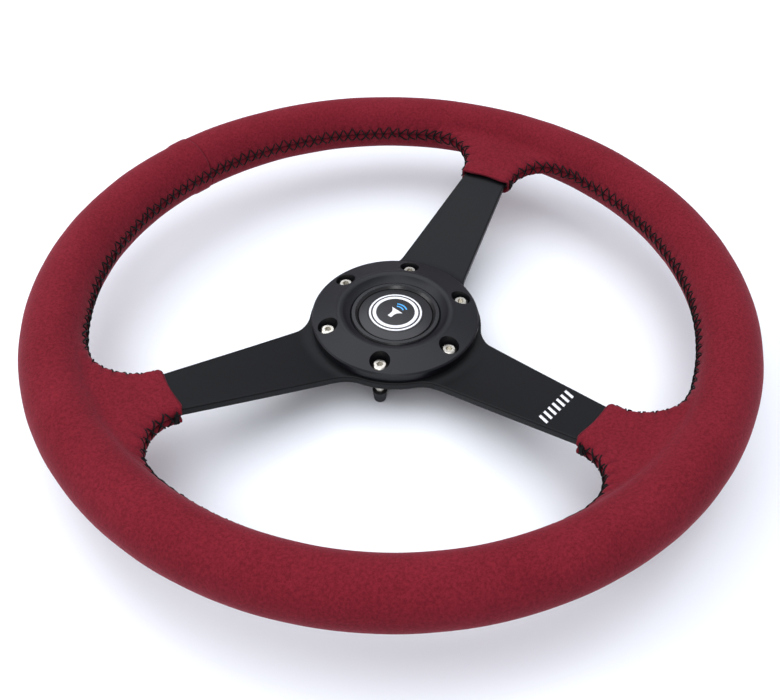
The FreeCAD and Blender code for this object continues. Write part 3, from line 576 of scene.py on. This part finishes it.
def cover_patch(first, last):
    """Outer patch with its lips, the inner patch, and the crease value of each outer point, which darkens
    the suede as painted shade.
    """
    run = run_stations(first, last, OUTER_STEP)[:, None]
    turn = TURNS[None, :]
    outer = skin_points(run, turn, first, last)
    height, crease = relief(outer, run, turn, first, last)
    outer = outer + outward(outer) * height[..., None]
    inner_run = run_stations(first, last, INNER_STEP)[:, None]
    inner = skin_points(inner_run, turn, first, last, -SKIN)
    climb = np.array([np.cos(SLOPE), 0, np.sin(SLOPE)])
    toward_hub = [-turn_about_z(climb, angle) for angle in (first, last)]
    start = [inner[0], *lip_rows(outer[0], inner[0], toward_hub[0])]
    end = [*lip_rows(outer[-1], inner[-1], toward_hub[1])[::-1], inner[-1]]
    sheet = np.concatenate([np.stack(start), outer, np.stack(end)])
    lip = np.zeros((len(start), TURNS.size))
    return sheet, inner, np.concatenate([lip + LIP_CREASE, crease, lip + LIP_CREASE])


grids = []
creases = []
for name, (first, last) in WINDOWS.items():
    sheet, inner, crease = cover_patch(first, last)
    grids.append((sheet, grid_quads(*sheet.shape[:2])))
    grids.append((inner, grid_quads(*inner.shape[:2])[:, ::-1]))
    creases.append(crease.ravel())
    creases.append(np.zeros(inner[..., 0].size))
    print(name, "patch:", sheet.shape[:2], "outer,", inner.shape[:2], "inner points")


# %% [markdown]
# ## The cover as one piece
#
# The patches are welded where they share points, which has to leave no open edge. The foam below must
# stay inside the skin everywhere, so the last line measures how far inside it is.

# %% Cover object
WELD = 0.02
cover = add_piece("suede_cover", grids, suede, WHEEL, weld=WELD, crease=np.concatenate(creases))
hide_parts("rim_cover")
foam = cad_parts["rim_foam"]
foam_points = np.zeros(len(foam.data.vertices) * 3)
foam.data.vertices.foreach_get("co", foam_points)
room = cover_distance(foam_points.reshape(-1, 3) / MM)
print(f"foam lies {-room.max():.2f} mm or more inside the skin")

# %% [markdown]
# ## Crossed stitching
#
# The cover's two edges are laced with waxed black thread in crosses, like a shoe. Each thread leaves a
# hole on one side, crosses the valley and goes down a hole one step on at the other side. A thread is a
# thin round tube carried along a path on the skin, and its ends dive into the suede. Hand stitching is
# never quite even, so each hole is moved a little by chance.


# %% Thread material
def make_thread():
    """Waxed polyester: black, two plies twisted together, a slight gloss on each ply."""
    material, tree, place = new_material("waxed_black_thread")
    ply = add_node(tree, "ShaderNodeTexNoise", {"Vector": place, "Scale": 2600.0, "Detail": 1.0})
    colour = add_ramp(tree, ply.outputs["Fac"], [(0.3, "#040304"), (0.75, "#0E0B0C")])
    bump = add_node(
        tree, "ShaderNodeBump", {"Height": ply.outputs["Fac"], "Strength": 0.5, "Distance": 0.0002}
    )
    shader = add_node(
        tree,
        "ShaderNodeBsdfPrincipled",
        {"Base Color": colour, "Roughness": 0.7, "Specular IOR Level": 0.2, "Normal": bump.outputs[0]},
    )
    finish_material(tree, shader)
    return material


thread = make_thread()
print("thread:", len(thread.node_tree.nodes), "nodes")

# %% [markdown]
# ## Thread as tubes
#
# A thread is a thin tube with six sides. The crosses are scattered a little from their even places, and
# the ties at the mouths are the same tube wound three times, with two short cut ends.

# %% Tubes along paths
THREAD = 0.4
TUBE_SIDES = 6
POINTED = 0.02
RUN_SCATTER = 0.4
TURN_SCATTER = 0.35


def tubes(paths, normals, radius):
    """Round tubes along many paths at once. At each path point the circle is radius (N cos a + B sin a),
    where N is the given normal made square to the path and B is square to both. Each end narrows to a
    fiftieth of the radius."""
    along = np.gradient(paths, axis=1)
    along = along / np.linalg.norm(along, axis=-1, keepdims=True)
    normals = normals - (normals * along).sum(-1, keepdims=True) * along
    normals = normals / np.linalg.norm(normals, axis=-1, keepdims=True)
    side = np.cross(along, normals)
    angle = np.linspace(0, 2 * np.pi, TUBE_SIDES, endpoint=False)
    size = np.full(paths.shape[1], radius)
    size[[0, -1]] = radius * POINTED
    circle = normals[:, :, None] * np.cos(angle)[:, None] + side[:, :, None] * np.sin(angle)[:, None]
    points = paths[:, :, None] + circle * size[None, :, None, None]
    count, length = paths.shape[:2]
    one = grid_quads(length, TUBE_SIDES, wrap_columns=True)
    quads = one[None] + np.arange(count)[:, None, None] * length * TUBE_SIDES
    return points.reshape(-1, 3), quads.reshape(-1, 4)


def lacing(first, last, seed):
    """Both threads of every cross in a window. Station k of a path lies at run r0 + (r1 - r0) u and turn
    t0 + (t1 - t0) u, at a height that starts and ends under the skin."""
    count, shared = stitch_count(first, last)
    random = np.random.default_rng(seed)
    holes = STITCH_END + np.arange(count + 1) * shared / count
    upper = holes + random.normal(0, RUN_SCATTER, count + 1)
    lower = holes + random.normal(0, RUN_SCATTER, count + 1)
    reach = 1 / turn_scale(holes, first, last)
    upper_turn = reach * (STITCH_REACH + random.normal(0, TURN_SCATTER, count + 1))
    lower_turn = -reach * (STITCH_REACH + random.normal(0, TURN_SCATTER, count + 1))
    u = np.linspace(0, 1, 9)
    dive = np.array([-0.9, 0.0, 0.25, 0.3, 0.3, 0.3, 0.25, 0.0, -0.9])
    over = 0.5 * np.exp(-(((u - 0.5) / 0.22) ** 2))
    paths, normals = [], []
    for start, finish, start_turn, finish_turn, lift in (
        (upper[:-1], lower[1:], upper_turn[:-1], lower_turn[1:], 0.0),
        (lower[:-1], upper[1:], lower_turn[:-1], upper_turn[1:], 1.0),
    ):
        run = start[:, None] + (finish - start)[:, None] * u
        turn = start_turn[:, None] + (finish_turn - start_turn)[:, None] * u
        path = skin_points(run, turn, first, last, dive + lift * over)
        normal = outward(path)
        paths.append(path + normal * cross_seam(path)[1][..., None])
        normals.append(normal)
    return np.concatenate(paths), np.concatenate(normals)


def mouth_ties(first, last, seed):
    """At both mouths the thread is tied off: three turns across the seam, each a path of constant run and
    turn -t..t, and two cut ends that leave the skin along its normal and bend towards the hub."""
    total = window_run(first, last)
    random = np.random.default_rng(seed)
    u = np.linspace(0, 1, 9)
    dive = np.array([-0.9, 0.2, 0.5, 0.65, 0.7, 0.65, 0.5, 0.2, -0.9])
    paths, normals = [], []
    for mouth, onward in ((0.0, 1.0), (total, -1.0)):
        for turned in range(3):
            run = mouth + onward * (STITCH_END + 0.75 * turned + random.uniform(-1, 1) * (u - 0.5))
            reach = (STITCH_REACH - 0.6 * turned) / turn_scale(run, first, last)
            paths.append(skin_points(run, (2 * u - 1) * reach, first, last, dive + 0.2 * turned))
            normals.append(outward(paths[-1]))
        for side in (-1.0, 1.0):
            root = skin_points(mouth + onward * 1.8, side * 0.08, first, last, 0.5)
            leave = outward(root)
            to_hub = -root * [1, 1, 0] / np.hypot(root[0], root[1])
            length = random.uniform(0.9, 1.5)
            bend = to_hub * (u**2)[:, None] * length + np.array([0, 0, side]) * u[:, None] * 0.5
            paths.append(root + leave * u[:, None] * length * 0.5 + bend)
            normals.append(np.tile([0.3, 0.1, 0.95], (9, 1)))
    return np.stack(paths), np.stack(normals)


for number, (name, (first, last)) in enumerate(WINDOWS.items()):
    crosses, ties = lacing(first, last, 40 + number), mouth_ties(first, last, 50 + number)
    paths, normals = (np.concatenate(pair) for pair in zip(crosses, ties))
    piece = add_piece(f"{name}_lacing", [tubes(paths, normals, THREAD)], thread, WHEEL)
    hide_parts(f"{name}_stitching")

# %% [markdown]
# ## Finishes of the hard pieces
#
# The plate, ring, screws and horn keep the engineering shapes, so they only need finishes. Each starts
# from what the real surface is: anodised plate, bead-blasted ring, bright zinc screws, moulded plastic.


# %% Hard finishes
def grained(name, low, high, roughness, scale, bump, metallic=0.0, shine=0.5, depth=0.0002):
    """A material whose colour, roughness and relief all follow one fine noise; scale is per metre."""
    material, tree, place = new_material(name)
    grain = add_node(
        tree, "ShaderNodeTexNoise", {"Vector": place, "Scale": scale, "Detail": 3.0, "Roughness": 0.6}
    )
    cloud = add_node(tree, "ShaderNodeTexNoise", {"Vector": place, "Scale": 28.0, "Detail": 2.0})
    both = add_node(
        tree, "ShaderNodeMath", {0: grain.outputs["Fac"], 1: cloud.outputs["Fac"]}, operation="ADD"
    )
    half = add_node(tree, "ShaderNodeMath", {0: both.outputs[0], 1: 0.5}, operation="MULTIPLY")
    colour = add_ramp(tree, half.outputs[0], [(0.35, low), (0.65, high)])
    rough = add_node(
        tree,
        "ShaderNodeMapRange",
        {
            "Value": half.outputs[0],
            "From Min": 0.3,
            "From Max": 0.7,
            "To Min": roughness - 0.05,
            "To Max": roughness + 0.05,
        },
    )
    relief_node = add_node(
        tree, "ShaderNodeBump", {"Height": grain.outputs["Fac"], "Strength": bump, "Distance": depth}
    )
    shader = add_node(
        tree,
        "ShaderNodeBsdfPrincipled",
        {
            "Base Color": colour,
            "Metallic": metallic,
            "Specular IOR Level": shine,
            "Roughness": rough.outputs["Result"],
            "Normal": relief_node.outputs[0],
        },
    )
    finish_material(tree, shader)
    return material


plate_black = grained("satin_black_powder_coat", "#08090A", "#0C0D10", 0.4, 2400.0, 0.12, shine=0.17)
ring_black = grained("blasted_black_anodised", "#0B0C10", "#111217", 0.4, 1900.0, 0.16, shine=0.3)
zinc = grained("bright_zinc_plate", "#B8B4A9", "#D8D4C9", 0.24, 900.0, 0.05, metallic=1.0)
housing_black = grained("gloss_black_nylon", "#09090B", "#0C0C0E", 0.27, 2600.0, 0.015)
cap_black = grained("satin_black_abs", "#101011", "#161618", 0.34, 1500.0, 0.06)
disc_black = grained("printed_black_polycarbonate", "#0F0F10", "#161617", 0.36, 2600.0, 0.12)
rubber_black = grained("moulded_black_rubber", "#17181A", "#232427", 0.7, 800.0, 0.15)
mild_steel = grained("bare_mild_steel", "#77777A", "#8E8E90", 0.38, 600.0, 0.1, metallic=1.0)
spring_steel = grained("drawn_spring_wire", "#8A8B8F", "#A5A6AA", 0.3, 1200.0, 0.06, metallic=1.0)
brass = grained("stamped_brass", "#B58F46", "#D1AC60", 0.28, 900.0, 0.05, metallic=1.0)
base_plastic = grained("brown_phenolic", "#2E2724", "#3A322E", 0.5, 900.0, 0.1)
foam_black = grained("integral_skin_foam", "#141414", "#1F1F1F", 0.85, 900.0, 0.4)

FINISHES = {
    "spoke_plate": plate_black,
    "horn_ring": ring_black,
    "wheel_screws": zinc,
    "thread_caps": rubber_black,
    "button_housing": housing_black,
    "button_cap": cap_black,
    "emblem_disc": disc_black,
    "moving_contact": brass,
    "fixed_contact": brass,
    "ground_contact": brass,
    "contact_screw": zinc,
    "base_screws": zinc,
    "contact_base": base_plastic,
    "rim_armature": mild_steel,
    "right_bracket": mild_steel,
    "left_bracket": mild_steel,
    "lower_bracket": mild_steel,
    "bracket_rivets": mild_steel,
    "rim_foam": foam_black,
}
for name, material in FINISHES.items():
    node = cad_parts[name]
    node.data.materials.clear()
    node.data.materials.append(material)
print("finishes on", len(FINISHES), "engineering nodes")

# %% [markdown]
# ## Printed marks
#
# The horn disc carries two white rings and the usual horn sign, and one spoke a row of slanted bars.
# They are ink: a layer a few hundredths of a millimetre thick that follows the surface below. Each mark
# is a strip between two curves, laid on the surface by its height formula and then given its thickness.


# %% Ink
def make_ink(name, low, high):
    """Screen-print ink: dense pigment in a clear binder, slightly glossy, with faint mesh marks."""
    material, tree, place = new_material(name)
    mesh_marks = add_node(tree, "ShaderNodeTexNoise", {"Vector": place, "Scale": 3000.0, "Detail": 1.0})
    colour = add_ramp(tree, mesh_marks.outputs["Fac"], [(0.3, low), (0.7, high)])
    shader = add_node(tree, "ShaderNodeBsdfPrincipled", {"Base Color": colour, "Roughness": 0.38})
    finish_material(tree, shader)
    return material


white_ink = make_ink("white_screen_ink", "#E6E7E8", "#F4F5F6")
blue_ink = make_ink("blue_screen_ink", "#3BA3E6", "#55B4F0")

disc_high = np.array(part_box("emblem_disc")[1]) / MM
INK = 0.05
INK_SUNK = 0.02
INK_WELD = 0.002
DISC_REACH = disc_high[0] - 0.2
DISC_RISE = 0.6
DOME = (DISC_REACH**2 + DISC_RISE**2) / (2 * DISC_RISE)


def on_disc(x, y, lift):
    """Height of the domed disc: top - (R - sqrt(R^2 - r^2)) + lift."""
    return np.stack([x, y, disc_high[2] - DOME + np.sqrt(DOME**2 - x**2 - y**2) + lift], -1)


def on_spoke(x, y, lift):
    """Height of a spoke's face: plate thickness + (r - bend) tan(slope) + lift."""
    return np.stack([x, y, PLATE_THICK + (np.hypot(x, y) - BEND) * np.tan(SLOPE) + lift], -1)


def ink_strip(x, y, surface, closed=False):
    """A thin closed slab over a grid in plan: top sheet, bottom sheet and the walls between them."""
    top, bottom = surface(x, y, INK), surface(x, y, -INK_SUNK)
    rows, columns = x.shape
    shell = np.concatenate([bottom[:, :1], top, bottom[:, ::-1]], axis=1)
    width = shell.shape[1]
    faces = grid_quads(rows, width, wrap_rows=closed)
    if closed:
        return [(shell, faces)]
    ends = []
    for row in (0, rows - 1):
        cap = np.stack([top[row], bottom[row]])
        ends.append((cap, grid_quads(2, columns)))
    return [(shell, faces), *ends]


def ring_strip(inner, outer, start=0.0, sweep=2 * np.pi, centre=0.0):
    """Points of a flat ring between two radii."""
    closed = sweep >= 2 * np.pi
    angle = np.linspace(start, start + sweep, max(8, int(sweep * 24)) + 1)
    angle = angle[:-1] if closed else angle
    radius = np.linspace(inner, outer, 4)
    x = centre + np.cos(angle)[:, None] * radius
    y = np.sin(angle)[:, None] * radius
    return ink_strip(x, y, on_disc, closed)


def horn_strip():
    """The horn sign's bell: half height 1.1 along the stem, then opening as the 2.2th power."""
    x = np.linspace(-4.6, 1.4, 25)
    opening = np.clip((x + 2.4) / 3.8, 0, 1)
    half = 1.1 + 2.5 * opening**2.2
    side = np.linspace(-1, 1, 7)
    return ink_strip(np.repeat(x[:, None], 7, 1), half[:, None] * side, on_disc)


disc_marks = [*ring_strip(12.3, 13.3), *ring_strip(9.7, 11.5), *horn_strip()]
disc_print = add_piece("disc_print", disc_marks, white_ink, HORN, weld=INK_WELD)
wave_marks = [*ring_strip(3.4, 4.2, -0.6, 1.2, 0.2), *ring_strip(5.2, 6.0, -0.6, 1.2, 0.2)]
wave_print = add_piece("sound_print", wave_marks, blue_ink, HORN, weld=INK_WELD)


# %% [markdown]
# ## Bars on the lower spoke
#
# A row of plain slanted bars lies across the lower spoke, a little way in from the suede.


# %% Spoke bars
BARS = 7
BAR_PITCH = 3.3
BAR_REACH = 97.4
BAR_HALF_HEIGHT = 2.7
BAR_HALF_WIDTH = 0.75
BAR_SLANT = 0.35


def bar_strip(number):
    """One slanted bar: a parallelogram whose x shifts with its height."""
    centre = (number - (BARS - 1) / 2) * BAR_PITCH
    up = np.linspace(-BAR_HALF_HEIGHT, BAR_HALF_HEIGHT, 7)
    across = np.linspace(-BAR_HALF_WIDTH, BAR_HALF_WIDTH, 3)
    x = centre + across[None, :] + BAR_SLANT * up[:, None]
    y = np.repeat(-BAR_REACH + up[:, None], 3, 1)
    return ink_strip(x, y, on_spoke)


bars = [grid for number in range(BARS) for grid in bar_strip(number)]
spoke_print = add_piece("spoke_print", bars, white_ink, WHEEL, weld=INK_WELD)

# %% [markdown]
# ## Return spring
#
# The coil under the horn cap stands on the hub's washer and carries the cap. When the cap goes down, the
# coil gets shorter evenly from its foot; here it is a piece of its own on the wheel's body, drawn at one
# length.


# %% Return spring
COIL_RADIUS = 5.2
COIL_WIRE = 0.4
COIL_RISE = 2.0
COIL_FOOT = -5.18
COIL_TOP = 4.38


def coil_path():
    """Middle of the wire: angle 2 pi (z - foot) / rise, radius constant, z rising evenly. The two end
    stations lie close together so that the cut ends come out flat."""
    u = np.concatenate([[0], np.linspace(0.0005, 0.9995, 160), [1]])
    z = COIL_FOOT + (COIL_TOP - COIL_FOOT) * u
    angle = 2 * np.pi * (z - COIL_FOOT) / COIL_RISE
    path = np.stack([COIL_RADIUS * np.cos(angle), COIL_RADIUS * np.sin(angle), z], -1)
    return path[None], np.stack([np.cos(angle), np.sin(angle), 0 * z], -1)[None]


coil = add_piece("horn_coil_spring", [tubes(*coil_path(), COIL_WIRE)], spring_steel, WHEEL)
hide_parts("return_spring")
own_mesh(coil)

# %% [markdown]
# ## Floor
#
# The wheel lies on a white sweep under large soft lights, so the floor is nearly as bright as the
# background and only soft shadows show.


# %% Floor
def make_floor_material():
    material, tree, place = new_material("white_gloss_acrylic")
    fine = add_node(tree, "ShaderNodeTexNoise", {"Vector": place, "Scale": 6.0, "Detail": 1.0})
    colour = add_ramp(tree, fine.outputs["Fac"], [(0.3, "#F3F7F9"), (0.7, "#F6F9FB")])
    shader = add_node(tree, "ShaderNodeBsdfPrincipled", {"Base Color": colour, "Roughness": 0.3})
    finish_material(tree, shader)
    return material


FLOOR_SIZE = 6000.0
floor_side = np.linspace(-FLOOR_SIZE, FLOOR_SIZE, 3)
floor_x, floor_y = np.meshgrid(floor_side, floor_side, indexing="ij")
floor_z = np.full_like(floor_x, CAD_BOX[0][2] / MM)
floor_grid = (np.stack([floor_x, floor_y, floor_z], -1), grid_quads(3, 3))
floor_mesh = bpy.data.meshes.new("floor")
floor_mesh.from_pydata((floor_grid[0].reshape(-1, 3) * MM).tolist(), [], floor_grid[1][:, ::-1].tolist())
floor_mesh.materials.append(make_floor_material())
floor = bpy.data.objects.new("floor", floor_mesh)
bpy.context.scene.collection.objects.link(floor)
print(f"floor at {floor_z[0, 0]:.1f} mm")
if floor_mesh.polygons[0].normal.z < 0:
    floor_mesh.flip_normals()


# %% [markdown]
# ## Lights
#
# One very large soft light hangs above the wheel, and two small weak ones lift the front and the side. A
# pale room fills the shadows.


# %% Lights
def add_softbox(name, place, size, power, colour="#FFFFFF"):
    """A square area light that faces the hub."""
    light = bpy.data.lights.new(name, "AREA")
    light.shape = "SQUARE"
    light.size = size
    light.energy = power
    light.color = linear(colour)[:3]
    lamp = bpy.data.objects.new(name, light)
    lamp.location = place
    lamp.rotation_euler = (-Vector(place)).to_track_quat("-Z", "Y").to_euler()
    bpy.context.scene.collection.objects.link(lamp)
    return lamp


add_softbox("overhead_softbox", (-0.05, 0.3, 1.5), 2.3, 31.0, "#F6F8FF")
add_softbox("front_softbox", (-0.9, -0.75, 1.2), 0.5, 3.0)
add_softbox("side_softbox", (-0.9, 1.1, 0.9), 0.8, 4.0)

world = bpy.data.worlds.new("white_room")
world.use_nodes = True
world.node_tree.nodes["Background"].inputs["Color"].default_value = linear("#F2F4FF")
world.node_tree.nodes["Background"].inputs["Strength"].default_value = 0.62
bpy.context.scene.world = world
bpy.context.scene.view_settings.view_transform = "Standard"

# %% [markdown]
# ## Camera
#
# The camera looks down at the hub from about 48 degrees above the floor, on the driver's left. Its frame
# is shifted a little instead of turned, as a photographer crops.

# %% Camera
CAMERA_PLACE = Vector((-0.22757, -0.20395, 0.29553))
CAMERA_RIGHT = Vector((0.66087, -0.75004, 0.02612))
CAMERA_BACK = Vector((-0.51126, -0.42445, 0.74730))
camera_data = bpy.data.cameras.new("camera")
camera_data.sensor_width = 36.0
camera_data.lens = 38.30
camera_data.shift_x = -0.0327
camera_data.shift_y = 0.0509
camera_data.clip_start = 0.01
camera = bpy.data.objects.new("camera", camera_data)
camera_up = CAMERA_BACK.cross(CAMERA_RIGHT)
camera_turn = Matrix((CAMERA_RIGHT, camera_up, CAMERA_BACK)).transposed().to_4x4()
camera.matrix_world = Matrix.Translation(CAMERA_PLACE) @ camera_turn
bpy.context.scene.collection.objects.link(camera)
bpy.context.scene.camera = camera
print(f"camera: {camera_data.lens} mm lens, {CAMERA_PLACE.length:.3f} m from the hub")
